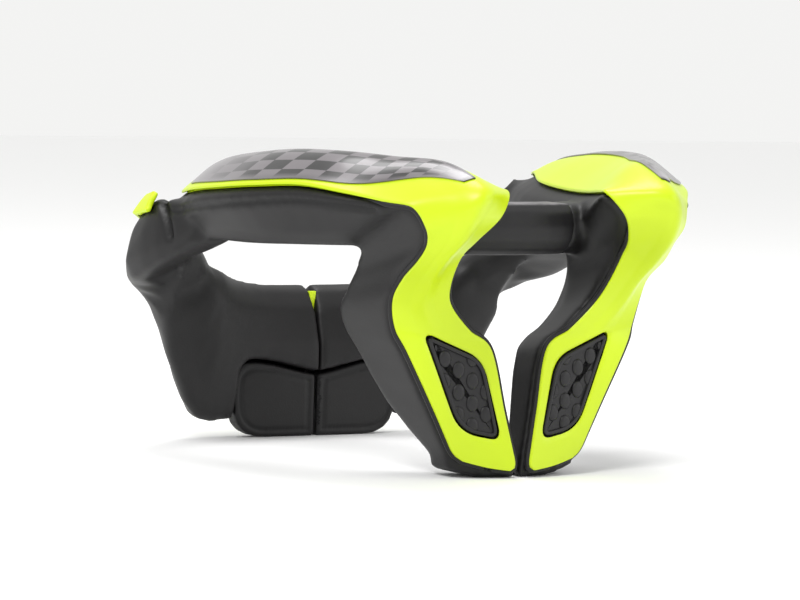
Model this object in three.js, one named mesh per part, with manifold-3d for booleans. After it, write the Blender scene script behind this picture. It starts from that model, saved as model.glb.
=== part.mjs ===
// A motocross neck brace: two moulded foam halves joined by a throat bridge at the front and parted by a seam
// at the nape, yellow moulded plates over the shoulder decks and down the chest legs, a printed panel on each
// deck, a ribbed rubber pad in each leg, and a closure flap on each side of the rear seam.
// Millimetres, +Z up, -Y is the wearer's front and +X the wearer's left. The brace stands on the floor z = 0.
import * as THREE from 'three';
import Module from 'manifold-3d';
import { mergeVertices } from 'three/addons/utils/BufferGeometryUtils.js';

const wasm = await Module();
wasm.setup();

// Overall sizes. The tables below hold places as shares of these three.
const HALF_WIDTH = 120; // centre plane to the widest point of a rear wing
const DEPTH = 230; // noses of the plates to the rear face of the closure strap
const HEIGHT = 139; // floor to the crest of a deck

// Walls and clearances.
const PLATE_WALL = 2.4;
const PANEL_WALL = 0.9;
const PANEL_FLOOR = 0.8; // the panel lies above this share of HEIGHT
const STRAP_WALL = 3;
const STRAP_LIFT = 0.6; // strap's underside over the foam
const STRAP_STEPS = 18; // facets along half the strap
const CLEARANCE = 0.3; // between pieces that touch
const PLATE_START = 0.2; // row number of STRIP where the plate begins, short of the deck's rear end
const FOAM_LIP = 5.5; // foam that shows outside the deck plate's outer edge
const FOAM_ROLL = 9; // foam that bulges into the neck opening inside the plate
const FOOT_ROUND = 7; // rounding of the foam's lower edges
const BACK_WALL = 19; // foam of the back panel
const PAD_CORNER = 13; // corner radius of the chest pad at its inner upper corner
const FLAP_CORNER = 17; // corner radius of a closure flap at its outer lower corner
const LEG_GAP = 1; // between the two legs at their toes

// Seam at the nape.
const SEAM_GAP = 1;
const SEAM_MOUTH = 4.6; // the seam's width at the top of the back panel
const SEAM_MOUTH_DEPTH = 17;

// Slit between a deck's rear end and its wing.
const SLIT_WIDTH = 1.8;
const SLIT_DEPTH = 14;

// Throat bridge.
const BRIDGE_RADIUS = 13;
const BRIDGE_SPAN = 48; // between the two joints with the foam halves

// Chest pads.
const PAD_DEPTH = 6; // from the pocket's floor to the top of the rim
const PAD_RIM = 2.6;
const PAD_RIM_HEIGHT = 1.4;
const PAD_PROUD = 1.2; // the rim's top over the foam's face
const WINDOW_GAP = 1.1; // between the pad and the plate's window
const BUMP_WIDTH = 7.2;
const BUMP_LENGTH = 9;
const BUMP_HEIGHT = 1.1;
const BUMP_PITCH = 11; // along a column
const BUMP_COLUMN_STEP = 7.3; // between two columns

// Closure flaps.
const FLAP_WALL = 9;
const FLAP_SETBACK = 3; // behind the back panel's face
const FLAP_SEAM_GAP = 3; // between the two flaps

// How finely the surfaces are divided.
const STEPS_PER_ROW = 2;
const ACROSS = 6;
const SIDES_OF_BUMP = 10;
const CORNER_ROOM = 0.48; // most of an edge that a rounded corner may take up
const NEARBY = 0.05; // step to the neighbours that give a surface its direction

const thousandths = (value) => (Array.isArray(value) ? value.map((part) => part / 1000) : value);

// Sections of a deck and leg, from the deck's rear end over the nose to the toe. Places are [x, y, z]
// shares of HALF_WIDTH, of DEPTH from the noses, and of HEIGHT, in thousandths. outer, crest and inner lie
// on the plate's upper face, and the two feet are the foam's lower or rear edges. lip and roll are shares
// of FOAM_LIP and FOAM_ROLL.
const STRIP_COLUMNS = ['outer', 'crest', 'inner', 'innerFoot', 'outerFoot', 'lip', 'roll'];
const STRIP = [
  [[775, 757, 795], [725, 722, 850], [665, 685, 872], [540, 687, 690], [808, 765, 660], 0.9, 1.4],
  [[875, 609, 832], [720, 609, 922], [590, 610, 888], [500, 630, 680], [845, 620, 676], 1, 1.3],
  [[893, 478, 855], [690, 478, 956], [487, 513, 872], [440, 520, 676], [812, 496, 676], 1, 1.1],
  [[868, 383, 870], [658, 383, 970], [425, 413, 864], [390, 430, 683], [772, 400, 683], 1, 0.9],
  [[805, 278, 882], [598, 280, 972], [370, 313, 862], [350, 340, 683], [700, 325, 690], 0.95, 0.7],
  [[732, 195, 868], [513, 198, 965], [307, 210, 866], [317, 280, 683], [622, 268, 698], 0.8, 0.5],
  [[638, 124, 845], [430, 108, 955], [238, 112, 877], [300, 278, 676], [567, 287, 690], 0.6, 0.3],
  [[577, 80, 830], [388, 4, 887], [200, 64, 878], [308, 287, 655], [533, 304, 669], 0.35, 0.2],
  [[542, 61, 770], [417, 0, 820], [254, 39, 806], [317, 287, 626], [525, 325, 633], 0.25, 0.18],
  [[517, 74, 719], [433, 26, 741], [312, 70, 730], [317, 291, 597], [517, 345, 597], 0.2, 0.18],
  [[517, 102, 664], [442, 78, 669], [333, 104, 676], [317, 291, 568], [517, 362, 568], 0.2, 0.18],
  [[517, 152, 604], [433, 130, 597], [329, 139, 590], [308, 291, 532], [508, 385, 532], 0.2, 0.18],
  [[521, 178, 540], [417, 163, 525], [300, 159, 525], [292, 291, 496], [504, 406, 496], 0.2, 0.18],
  [[500, 185, 460], [358, 174, 450], [208, 167, 446], [217, 291, 432], [483, 403, 432], 0.2, 0.18],
  [[458, 174, 386], [292, 172, 381], [115, 169, 388], [117, 287, 374], [442, 388, 367], 0.2, 0.18],
  [[350, 168, 211], [208, 163, 209], [67, 157, 201], [75, 270, 201], [354, 352, 209], 0.2, 0.18],
  [[262, 165, 61], [142, 152, 35], [21, 143, 20], [25, 239, 20], [262, 265, 58], 0.2, 0.18],
].map((row) => Object.fromEntries(STRIP_COLUMNS.map((column, i) => [column, thousandths(row[i])])));
const TOE_DROP = 0.036; // how far the toe's foam reaches past the plate, as a share of HEIGHT

// Sections of a wing and half of the back panel, from the seam to the deck's rear end. rim and foot are the
// wall's upper and lower edges at mid thickness, facing is the outward direction in degrees from straight
// back, thick is a share of BACK_WALL and bow is how far the wall's middle stands forward of rim and foot,
// as a share of it too.
const WALL = [
  { rim: [-0.03, 0.953, 0.475], foot: [-0.03, 0.917, 0.065], facing: 0, thick: 0.95, bow: 0.35 },
  { rim: [0.22, 0.937, 0.482], foot: [0.22, 0.91, 0.065], facing: 6, thick: 0.95, bow: 0.3 },
  { rim: [0.4, 0.891, 0.515], foot: [0.41, 0.903, 0.065], facing: 20, thick: 0.95, bow: 0.2 },
  { rim: [0.505, 0.848, 0.555], foot: [0.53, 0.89, 0.075], facing: 35, thick: 0.97, bow: 0.1 },
  { rim: [0.585, 0.816, 0.6], foot: [0.615, 0.885, 0.2], facing: 45, thick: 1, bow: 0 },
  { rim: [0.655, 0.787, 0.65], foot: [0.69, 0.872, 0.35], facing: 53, thick: 1.1, bow: -0.05 },
  { rim: [0.72, 0.757, 0.695], foot: [0.765, 0.84, 0.46], facing: 62, thick: 1.25, bow: -0.12 },
  { rim: [0.774, 0.72, 0.737], foot: [0.82, 0.77, 0.54], facing: 72, thick: 1.5, bow: -0.2 },
  { rim: [0.778, 0.675, 0.77], foot: [0.81, 0.69, 0.6], facing: 82, thick: 1.6, bow: -0.1 },
  { rim: [0.74, 0.61, 0.78], foot: [0.765, 0.61, 0.655], facing: 88, thick: 1.5, bow: 0 },
];
// The wall's profile from rim to foot: shares of its height and of its half thickness.
const WALL_PROFILE = [
  { along: 0, half: 0.45 },
  { along: 0.07, half: 0.85 },
  { along: 0.2, half: 1 },
  { along: 0.45, half: 1 },
  { along: 0.75, half: 1 },
  { along: 0.93, half: 0.85 },
  { along: 1, half: 0.5 },
];

// Throat bridge: its axis at mid span, as shares of DEPTH and HEIGHT, and how far its ends bow back.
const BRIDGE = { y: 0.2, z: 0.762, bow: 0.035, flat: 0.72 };

// Chest pad outline as [x, z] shares of HALF_WIDTH and HEIGHT, with corner radii as shares of PAD_CORNER.
const PAD_CORNERS = [
  { at: [0.384, 0.436], round: 0.4 },
  { at: [0.157, 0.357], round: 0.55 },
  { at: [0.09, 0.12], round: 0.4 },
  { at: [0.246, 0.146], round: 0.7 },
];
const BUMP_CENTRE = [0.25, 0.262];

// Closure flap outline as [x, z] shares of HALF_WIDTH and HEIGHT, with corner radii as shares of
// FLAP_CORNER. Its inner edge follows FLAP_SEAM_GAP.
const FLAP_CORNERS = [
  { at: [0.355, 0], round: 1 },
  { at: [0.355, 0.252], round: 0.95 },
  { at: [0.2, 0.24], round: 0.35 },
];
const FLAP_SEAM_ROUND = 0.06; // the same share at the seam
const FLAP_SEAM_TOP = 0.2; // height of the flap's upper edge at the seam, as a share of HEIGHT
const FLAP_FACE = 0.868; // y of the panel's face there, as a share of DEPTH
const FLAP_POCKET_GAP = 1.4;

// Deck panel: rows of STRIP and the shares of the way across between which it lies there.
const PANEL = [
  { row: 0.8, low: 0.12, high: 0.56 },
  { row: 1.5, low: 0.09, high: 0.58 },
  { row: 2.5, low: 0.08, high: 0.6 },
  { row: 3.5, low: 0.08, high: 0.6 },
  { row: 4.5, low: 0.1, high: 0.59 },
  { row: 5.2, low: 0.14, high: 0.58 },
  { row: 5.8, low: 0.22, high: 0.56 },
  { row: 6.3, low: 0.32, high: 0.54 },
  { row: 6.7, low: 0.42, high: 0.52 },
];

// Rear strap: the rows of WALL between which each half of it lies on the wall's rear face, and its edges
// and middle there, as shares of the way from rim to foot.
const STRAP_ROWS = { first: 0.25, last: 7.4 };
const STRAP_EDGES = { centre: [0.07, 0.2, 0.36], end: [0.1, 0.19, 0.32] };

const COLOURS = {
  foam: { color: 0x2b2b2d, roughness: 0.75, metalness: 0 },
  bridge: { color: 0x35353a, roughness: 0.6, metalness: 0 },
  plate: { color: 0xd8f000, roughness: 0.35, metalness: 0 },
  panel: { color: 0x6b666a, roughness: 0.2, metalness: 0 },
  pad: { color: 0x2f2f31, roughness: 0.6, metalness: 0 },
  strap: { color: 0xd4ee10, roughness: 0.5, metalness: 0 },
};

// A place given in shares, in millimetres. y runs back from the noses.
const place = ([x, y, z]) => new THREE.Vector3(x * HALF_WIDTH, y * DEPTH, z * HEIGHT);

// A point at share t of a smooth curve through points.
const along = (points, t) => new THREE.CatmullRomCurve3(points, false, 'catmullrom', 0.5).getPoint(t);

// The value of a number column at row number r, and the place of a place column there.
function numberAt(table, column, r) {
  const low = Math.min(Math.floor(r), table.length - 2);
  return THREE.MathUtils.lerp(table[low][column], table[low + 1][column], r - low);
}
const placeAt = (table, column, r) => along(table.map((row) => place(row[column])), r / (table.length - 1));

// A point of the plate's upper face at row number r of STRIP and share of the way from outer over crest to
// inner.
const FACE_COLUMNS = ['outer', 'crest', 'inner'];
const faceAt = (r, share) => along(FACE_COLUMNS.map((column) => placeAt(STRIP, column, r)), share);

// The same point, lifted off the face along its normal.
function liftedAt(r, share, lift) {
  const rows = [Math.max(r - NEARBY, 0), Math.min(r + NEARBY, STRIP.length - 1)];
  const shares = [Math.max(share - NEARBY, 0), Math.min(share + NEARBY, 1)];
  const down = faceAt(rows[1], share).sub(faceAt(rows[0], share));
  const over = faceAt(r, shares[1]).sub(faceAt(r, shares[0]));
  return faceAt(r, share).addScaledVector(over.cross(down).normalize(), lift);
}

const PLATE_BED = -PLATE_WALL - CLEARANCE; // the foam's bed under the plate's upper face
const acrossShares = Array.from({ length: ACROSS + 1 }, (_, j) => j / ACROSS);
const faceAcross = (r, lift) => acrossShares.map((share) => liftedAt(r, share, lift));

// The closed foam section at row number r of STRIP.
function foamSection(r) {
  const bed = faceAcross(r, PLATE_BED);
  const outer = bed[0];
  const inner = bed[ACROSS];
  const lip = numberAt(STRIP, 'lip', r) * FOAM_LIP;
  const roll = numberAt(STRIP, 'roll', r) * FOAM_ROLL;
  const innerFoot = placeAt(STRIP, 'innerFoot', r);
  const outerFoot = placeAt(STRIP, 'outerFoot', r);
  const outward = outer.clone().sub(bed[1]).normalize();
  const inward = inner.clone().sub(bed[ACROSS - 1]).normalize();
  const outerDown = outerFoot.clone().sub(outer);
  const innerDown = innerFoot.clone().sub(inner);
  const sides = [outerDown.length(), innerDown.length(), innerFoot.distanceTo(outerFoot)];
  const round = Math.min(FOOT_ROUND, ...sides.map((side) => side / 4));
  outerDown.normalize();
  innerDown.normalize();
  const floor = outerFoot.clone().sub(innerFoot).normalize();
  const step = (point, direction, distance) => point.clone().addScaledVector(direction, distance);
  return [
    ...bed,
    step(step(inner, inward, roll * 0.75), innerDown, roll * 0.1),
    step(step(inner, inward, roll), innerDown, roll * 0.9),
    step(innerFoot, innerDown, -round),
    step(innerFoot, floor, round),
    step(outerFoot, floor, -round),
    step(outerFoot, outerDown, -round),
    step(step(outer, outward, lip), outerDown, lip * 0.85),
    step(step(outer, outward, lip * 0.75), outerDown, lip * 0.1),
  ];
}

// The outward direction of the wall at row number r of WALL.
function wallFacing(r) {
  const angle = THREE.MathUtils.degToRad(numberAt(WALL, 'facing', r));
  return new THREE.Vector3(Math.sin(angle), Math.cos(angle), 0);
}

// A point of the wall's middle surface at row number r of WALL and a share of the way from rim to foot.
function wallMiddle(r, share) {
  const bow = numberAt(WALL, 'bow', r) * BACK_WALL;
  return placeAt(WALL, 'rim', r).lerp(placeAt(WALL, 'foot', r), share)
    .addScaledVector(wallFacing(r), -bow * 4 * share * (1 - share));
}

// The outward direction of the wall there.
function wallNormal(r, share) {
  const next = wallMiddle(Math.min(r + NEARBY, WALL.length - 1), share);
  const outward = next.sub(wallMiddle(Math.max(r - NEARBY, 0), share));
  const down = wallMiddle(r, Math.min(share + NEARBY, 1)).sub(wallMiddle(r, Math.max(share - NEARBY, 0)));
  return outward.cross(down).normalize();
}

// A point of the wall off its middle by a share of its half thickness, and then by lift.
function wallPoint(r, share, off, lift = 0) {
  const half = (numberAt(WALL, 'thick', r) * BACK_WALL) / 2;
  return wallMiddle(r, share).addScaledVector(wallNormal(r, share), off * half + lift);
}

// The closed section of the wall: the front face down, the rear face up.
function wallSection(r) {
  const face = (side) => WALL_PROFILE.map(({ along: share, half }) => wallPoint(r, share, side * half));
  return [...face(-1), ...face(1).reverse()];
}

// A closed solid through rings of points, its ends closed by strips from one side of the ring to the other.
function loft(rings) {
  const count = rings[0].length;
  const points = rings.flat();
  const triangles = [];
  for (let i = 0; i + 1 < rings.length; i++) {
    for (let j = 0; j < count; j++) {
      const a = i * count + j;
      const b = i * count + ((j + 1) % count);
      triangles.push(a, b, b + count, a, b + count, a + count);
    }
  }
  const capped = (start, turned) => {
    for (let low = 0, high = count - 1; low < high - 1; low++, high--) {
      const fan = [[low, low + 1, high]];
      if (low + 1 < high - 1) fan.push([low + 1, high - 1, high]);
      for (const [a, b, c] of fan) triangles.push(...(turned ? [b, a, c] : [a, b, c]).map((k) => start + k));
    }
  };
  capped(0, true);
  capped((rings.length - 1) * count, false);
  return solidOf(new THREE.BufferGeometry().setFromPoints(points).setIndex(triangles));
}

// Six times the signed volume of a closed indexed geometry.
function signedVolume(geometry) {
  const { position } = geometry.attributes;
  const [a, b, c] = [new THREE.Vector3(), new THREE.Vector3(), new THREE.Vector3()];
  let sum = 0;
  for (let i = 0; i < geometry.index.count; i += 3) {
    [a, b, c].forEach((corner, k) => corner.fromBufferAttribute(position, geometry.index.getX(i + k)));
    sum += a.dot(b.cross(c));
  }
  return sum;
}

// A manifold-3d solid of a closed geometry, turned outwards.
function solidOf(geometry) {
  const bare = geometry.clone();
  bare.deleteAttribute('normal');
  bare.deleteAttribute('uv');
  const merged = mergeVertices(bare, 1e-4);
  const triVerts = new Uint32Array(merged.index.array);
  if (signedVolume(merged) < 0) triVerts.reverse();
  const vertProperties = new Float32Array(merged.attributes.position.array);
  return new wasm.Manifold(new wasm.Mesh({ numProp: 3, vertProperties, triVerts }));
}

function geometryOf(solid) {
  const mesh = solid.getMesh();
  const geometry = new THREE.BufferGeometry();
  geometry.setAttribute('position', new THREE.BufferAttribute(new Float32Array(mesh.vertProperties), 3));
  geometry.setIndex(new THREE.BufferAttribute(new Uint32Array(mesh.triVerts), 1));
  return geometry;
}

// A shell between two grids of points, one over the other.
const shellBetween = (lower, upper) => loft(lower.map((row, i) => [...row, ...[...upper[i]].reverse()]));

// Row numbers from first to last in equal steps.
function rowsFrom(first, last, steps) {
  return Array.from({ length: steps + 1 }, (_, i) => THREE.MathUtils.lerp(first, last, i / steps));
}

// A rounded outline whose edges are moved outwards by grow. Corners run clockwise or anticlockwise alike.
function roundedOutline(corners, grow) {
  const points = corners.map((corner) => corner.at);
  const area = THREE.ShapeUtils.area(points);
  const edges = points.map((a, i) => {
    const b = points[(i + 1) % points.length];
    const direction = b.clone().sub(a).normalize();
    const out = new THREE.Vector2(direction.y, -direction.x).multiplyScalar(Math.sign(area) * grow);
    return { start: a.clone().add(out), direction };
  });
  const moved = edges.map((edge, i) => {
    const before = edges[(i + edges.length - 1) % edges.length];
    const cross = before.direction.cross(edge.direction);
    const share = edge.start.clone().sub(before.start).cross(edge.direction) / cross;
    return before.start.clone().addScaledVector(before.direction, share);
  });
  const shape = new THREE.Shape();
  moved.forEach((corner, i) => {
    const before = moved[(i + moved.length - 1) % moved.length];
    const after = moved[(i + 1) % moved.length];
    const room = Math.min(corner.distanceTo(before), corner.distanceTo(after)) * CORNER_ROOM;
    const reach = Math.min(corners[i].round + grow, room);
    const enter = corner.clone().lerp(before, reach / corner.distanceTo(before));
    const leave = corner.clone().lerp(after, reach / corner.distanceTo(after));
    shape[i ? 'lineTo' : 'moveTo'](enter.x, enter.y);
    shape.quadraticCurveTo(corner.x, corner.y, leave.x, leave.y);
  });
  shape.closePath();
  return shape;
}

// An outline in the x-z plane, extruded from y = front to y = back.
function extruded(shape, front, back) {
  const depth = back - front;
  const geometry = new THREE.ExtrudeGeometry(shape, { depth, bevelEnabled: false, curveSegments: 5 });
  return geometry.rotateX(Math.PI / 2).translate(0, back, 0);
}
const slab = (shape, front, back) => solidOf(extruded(shape, front, back));

function box(low, high) {
  const size = high.map((value, k) => value - low[k]);
  const middle = high.map((value, k) => (value + low[k]) / 2);
  return solidOf(new THREE.BoxGeometry(...size).translate(...middle));
}

const outlineCorners = (table, radius) => table.map(({ at, round }) => (
  { at: new THREE.Vector2(at[0] * HALF_WIDTH, at[1] * HEIGHT), round: round * radius }));

// The leg's face as a plane y = f(x, z), through three places of the plate's bed.
const LEG_PLACES = [STRIP[13].outer, STRIP[16].outer, STRIP[14].inner].map(place);
const LEG_PLANE = new THREE.Plane().setFromCoplanarPoints(...LEG_PLACES);
const LEG_SLOPE = LEG_PLANE.normal.clone().divideScalar(-LEG_PLANE.normal.y);
const legFaceAt = (x, z) => LEG_SLOPE.x * x + LEG_SLOPE.z * z - LEG_PLANE.constant / LEG_PLANE.normal.y;

// A slab sheared along y so that its y = 0 plane becomes the leg's face.
function legSlab(shape, front, back) {
  const geometry = extruded(shape, front, back);
  const { position } = geometry.attributes;
  for (let i = 0; i < position.count; i++) {
    position.setY(i, position.getY(i) + legFaceAt(position.getX(i), position.getZ(i)));
  }
  return solidOf(geometry);
}

const BEYOND = DEPTH; // past every face of the brace
const MIDDLE_Y = DEPTH * 0.6; // behind the legs and the bridge, in front of the back panel
const MIDDLE_Z = HEIGHT * 0.6; // over the gap between the legs, under the bridge
const BRIDGE_ROOM = 1.2; // reach of the bridge's room before its axis, as a share of BRIDGE_RADIUS

// The slit that parts the two halves at the nape and at the toes, as seen from the front.
function seamCut(panelTop) {
  const half = SEAM_GAP / 2;
  const mouth = SEAM_MOUTH / 2;
  const outline = new THREE.Shape([
    [-BEYOND, -BEYOND], [half, -BEYOND], [half, panelTop - SEAM_MOUTH_DEPTH], [mouth, panelTop],
    [mouth, panelTop + HEIGHT], [-BEYOND, panelTop + HEIGHT],
  ].map(([x, z]) => new THREE.Vector2(x, z)));
  return slab(outline, MIDDLE_Y, BEYOND * 2);
}

// The thin cut between the deck's rear end and the wing, open to the outside and to the top.
function wingSlit() {
  const outer = place(STRIP[0].outer);
  const foot = place(STRIP[0].outerFoot);
  const low = [outer.x - SLIT_DEPTH / 2, outer.y, foot.z + FOOT_ROUND];
  return box(low, [outer.x + BEYOND, outer.y + SLIT_WIDTH, outer.z + SLIT_DEPTH]);
}

function bridgeTube(halfSpan) {
  const sections = rowsFrom(-1, 1, 8).map((share) => {
    const x = share * halfSpan;
    const y = BRIDGE.y * DEPTH + BRIDGE.bow * DEPTH * share * share;
    return Array.from({ length: 14 }, (_, k) => {
      const turn = (k / 14) * 2 * Math.PI;
      const up = Math.min(Math.sin(turn), BRIDGE.flat);
      return new THREE.Vector3(x, y + BRIDGE_RADIUS * Math.cos(turn), BRIDGE.z * HEIGHT + BRIDGE_RADIUS * up);
    });
  });
  return loft(sections);
}

function flapOutline(grow) {
  const seamRound = FLAP_SEAM_ROUND * FLAP_CORNER;
  const atSeam = (z) => ({ at: new THREE.Vector2(FLAP_SEAM_GAP / 2, z), round: seamRound });
  const corners = [atSeam(0), ...outlineCorners(FLAP_CORNERS, FLAP_CORNER), atSeam(FLAP_SEAM_TOP * HEIGHT)];
  return roundedOutline(corners, grow);
}
const FLAP_FRONT = FLAP_FACE * DEPTH + FLAP_SETBACK;

function makeFlap() {
  return slab(flapOutline(0), FLAP_FRONT, FLAP_FRONT + FLAP_WALL);
}

// The room that a flap takes in the back panel, open to the front and downwards.
function flapPocket() {
  const front = FLAP_FRONT - DEPTH / 4;
  const back = FLAP_FRONT + FLAP_WALL + CLEARANCE;
  const top = FLAP_SEAM_TOP * HEIGHT + FLAP_POCKET_GAP;
  const seamSide = box([-BEYOND, front, -BEYOND], [FLAP_SEAM_GAP, back, top]);
  return slab(flapOutline(FLAP_POCKET_GAP), front, back).add(seamSide);
}

const padOutline = (grow) => roundedOutline(outlineCorners(PAD_CORNERS, PAD_CORNER), grow);

// A ribbed pad: a slab with a raised rim and rows of oval bumps that the rim cuts off.
function makePad() {
  const floor = PAD_RIM_HEIGHT - PAD_PROUD;
  const back = PAD_DEPTH - PAD_PROUD;
  const recess = legSlab(padOutline(-PAD_RIM), -BEYOND, floor);
  const bumpRoom = legSlab(padOutline(-PAD_RIM / 2), -BEYOND, BEYOND);
  const bumps = [];
  for (let column = -3; column <= 3; column++) {
    for (let row = -4; row <= 4; row++) {
      const x = BUMP_CENTRE[0] * HALF_WIDTH + column * BUMP_COLUMN_STEP;
      const z = BUMP_CENTRE[1] * HEIGHT + row * BUMP_PITCH + (column * BUMP_PITCH) * 0.58;
      const oval = new THREE.Shape();
      for (let k = 0; k < SIDES_OF_BUMP; k++) {
        const turn = ((k + 0.5) / SIDES_OF_BUMP) * 2 * Math.PI;
        const [sideways, up] = [(BUMP_WIDTH / 2) * Math.cos(turn), (BUMP_LENGTH / 2) * Math.sin(turn)];
        oval[k ? 'lineTo' : 'moveTo'](x + sideways, z + up);
      }
      bumps.push(legSlab(oval, floor - BUMP_HEIGHT, back - CLEARANCE));
    }
  }
  const relief = bumps.reduce((sum, bump) => sum.add(bump)).intersect(bumpRoom);
  return legSlab(padOutline(0), -PAD_PROUD, back).subtract(recess).add(relief);
}

const padPocket = () => legSlab(padOutline(CLEARANCE), -BEYOND, PAD_DEPTH - PAD_PROUD + CLEARANCE);
const plateWindow = () => legSlab(padOutline(WINDOW_GAP), -BEYOND / 4, BEYOND / 4);

// The wearer's left half of the foam body.
function makeFoam(bridge) {
  const last = STRIP.length - 1;
  const sections = STRIP_ROWS.map(foamSection);
  const toe = foamSection(last).map((point) => point.setZ(point.z - TOE_DROP * HEIGHT));
  const strip = loft([...sections, toe]);
  const wallRows = WALL.length - 1;
  const wall = loft(rowsFrom(0, wallRows, wallRows * STEPS_PER_ROW).map(wallSection));
  const half = strip.add(wall).add(bridge);
  const floor = box([-BEYOND, -BEYOND, -BEYOND], [BEYOND, BEYOND * 2, 0]);
  const otherLeg = box([-BEYOND, -BEYOND, -BEYOND], [LEG_GAP / 2, MIDDLE_Y, MIDDLE_Z]);
  const rimTop = place(WALL[0].rim).z;
  const cuts = [floor, otherLeg, bridgeJoint(), seamCut(rimTop), wingSlit(), padPocket(), flapPocket()];
  return cuts.reduce((solid, cut) => solid.subtract(cut), half);
}

// The bridge's room between its joints. It starts behind the noses, which reach nearer to the centre plane.
function bridgeJoint() {
  const front = BRIDGE.y * DEPTH - BRIDGE_RADIUS * BRIDGE_ROOM;
  return box([-BEYOND, front, MIDDLE_Z], [(BRIDGE_SPAN + CLEARANCE) / 2, MIDDLE_Y, BEYOND]);
}

const [REAR_ROW, ...EVEN_ROWS] = rowsFrom(0, STRIP.length - 1, (STRIP.length - 1) * STEPS_PER_ROW);
const PLATE_ROWS = [PLATE_START, ...EVEN_ROWS];
const STRIP_ROWS = [REAR_ROW, ...PLATE_ROWS];

// A cover on the strip from lift to lift + wall over the plate's upper face.
function coverOn(lift, wall) {
  const at = (height) => PLATE_ROWS.map((r) => faceAcross(r, height));
  return shellBetween(at(lift), at(lift + wall));
}

const makePlate = () => coverOn(-PLATE_WALL, PLATE_WALL).subtract(plateWindow());

// The panel narrows from its rear end to a point on the nose's crest. Its outline is cut straight down.
function makePanel() {
  const low = PANEL.map(({ row, low: share }) => faceAt(row, share));
  const high = PANEL.map(({ row, high: share }) => faceAt(row, share));
  const outline = new THREE.Shape([...low, ...high.reverse()].map(({ x, y }) => new THREE.Vector2(x, y)));
  const prism = new THREE.ExtrudeGeometry(outline, { depth: HEIGHT, bevelEnabled: false });
  return coverOn(CLEARANCE, PANEL_WALL).intersect(solidOf(prism.translate(0, 0, PANEL_FLOOR * HEIGHT)));
}

// The strap lies on the rear of the wings and the back panel, and its ends show beside the decks.
function makeStrap() {
  const acrossSeam = (point, side) => point.setX(point.x * side);
  const ring = (r, side) => {
    const share = r / STRAP_ROWS.last;
    const row = (lift) => STRAP_EDGES.centre.map((edge, k) => {
      const at = THREE.MathUtils.lerp(edge, STRAP_EDGES.end[k], share);
      return acrossSeam(wallPoint(r, at, 1, lift), side);
    });
    return [...row(STRAP_LIFT), ...row(STRAP_LIFT + STRAP_WALL).reverse()];
  };
  const rows = rowsFrom(STRAP_ROWS.first, STRAP_ROWS.last, STRAP_STEPS);
  return loft([...[...rows].reverse().map((r) => ring(r, -1)), ...rows.map((r) => ring(r, 1))]);
}

// The same geometry on the other side of the centre plane, its triangles turned to face out.
function mirrored(geometry) {
  const copy = geometry.clone();
  const { position } = copy.attributes;
  for (let i = 0; i < position.count; i++) position.setX(i, -position.getX(i));
  copy.index.array.reverse();
  return copy;
}

const brace = new THREE.Group();
brace.name = 'neck_brace';

function addPiece(name, geometry, finish) {
  const mesh = new THREE.Mesh(geometry, new THREE.MeshStandardMaterial(COLOURS[finish]));
  mesh.name = name;
  brace.add(mesh);
}

function addPair(name, solid, finish) {
  const geometry = geometryOf(solid);
  addPiece(`${name}_left`, geometry, finish);
  addPiece(`${name}_right`, mirrored(geometry), finish);
}

const longBridge = bridgeTube(BRIDGE_SPAN / 2 + BRIDGE_RADIUS);
const foam = makeFoam(longBridge);
const plate = makePlate();
addPair('foam', foam, 'foam');
const bridgeEnd = (BRIDGE_SPAN - CLEARANCE) / 2;
const shortBridge = longBridge.intersect(box([-bridgeEnd, -BEYOND, -BEYOND], [bridgeEnd, BEYOND, BEYOND]));
addPiece('throat_bridge', geometryOf(shortBridge), 'bridge');
addPair('plate', plate, 'plate');
addPair('deck_panel', makePanel(), 'panel');
addPair('chest_pad', makePad(), 'pad');
addPair('closure_flap', makeFlap(), 'foam');
addPiece('rear_strap', geometryOf(makeStrap()), 'strap');

// The frame's origin is under the middle of the brace, on the floor.
const bounds = new THREE.Box3().setFromObject(brace);
brace.position.y = -(bounds.min.y + bounds.max.y) / 2;

const part = new THREE.Group();
part.add(brace);

export default part;
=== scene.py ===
"""Looks of a motocross neck brace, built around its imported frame.

The foam halves, flaps, bridge and strap start from the frame's solids and are evened out into moulded
forms. The plates, panels and pads are modelled on the same sections as the solids. Metres, +Z up, the
wearer's front at -Y.
"""

import math
import random

import bmesh
import bpy
from mathutils import Matrix, Vector
from mathutils.bvhtree import BVHTree
from mathutils.kdtree import KDTree


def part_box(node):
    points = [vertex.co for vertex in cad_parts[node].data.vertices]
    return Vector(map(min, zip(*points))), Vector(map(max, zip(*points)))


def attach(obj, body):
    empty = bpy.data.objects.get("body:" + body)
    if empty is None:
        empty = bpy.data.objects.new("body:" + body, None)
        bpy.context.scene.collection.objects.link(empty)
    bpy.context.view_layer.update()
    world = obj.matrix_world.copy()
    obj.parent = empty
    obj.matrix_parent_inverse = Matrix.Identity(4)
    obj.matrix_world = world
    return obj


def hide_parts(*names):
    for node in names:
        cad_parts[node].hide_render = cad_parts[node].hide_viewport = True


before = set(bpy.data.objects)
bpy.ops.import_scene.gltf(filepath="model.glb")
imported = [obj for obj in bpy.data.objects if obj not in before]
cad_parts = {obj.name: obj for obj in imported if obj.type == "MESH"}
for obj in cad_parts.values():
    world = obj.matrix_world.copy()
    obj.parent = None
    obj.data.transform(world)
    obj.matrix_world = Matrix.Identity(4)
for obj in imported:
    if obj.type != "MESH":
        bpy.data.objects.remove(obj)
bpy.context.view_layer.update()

MM = 0.001

# Takes a place on one side to the same place on the other.
MIRROR = Matrix.Scale(-1, 4, (1, 0, 0))

# Overall sizes of the solids. The tables hold places as shares of them.
HALF_WIDTH = 120 * MM
DEPTH = 230 * MM
HEIGHT = 139 * MM
NOSE_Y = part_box("plate_left")[0][1]  # where the tables' y starts

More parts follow.
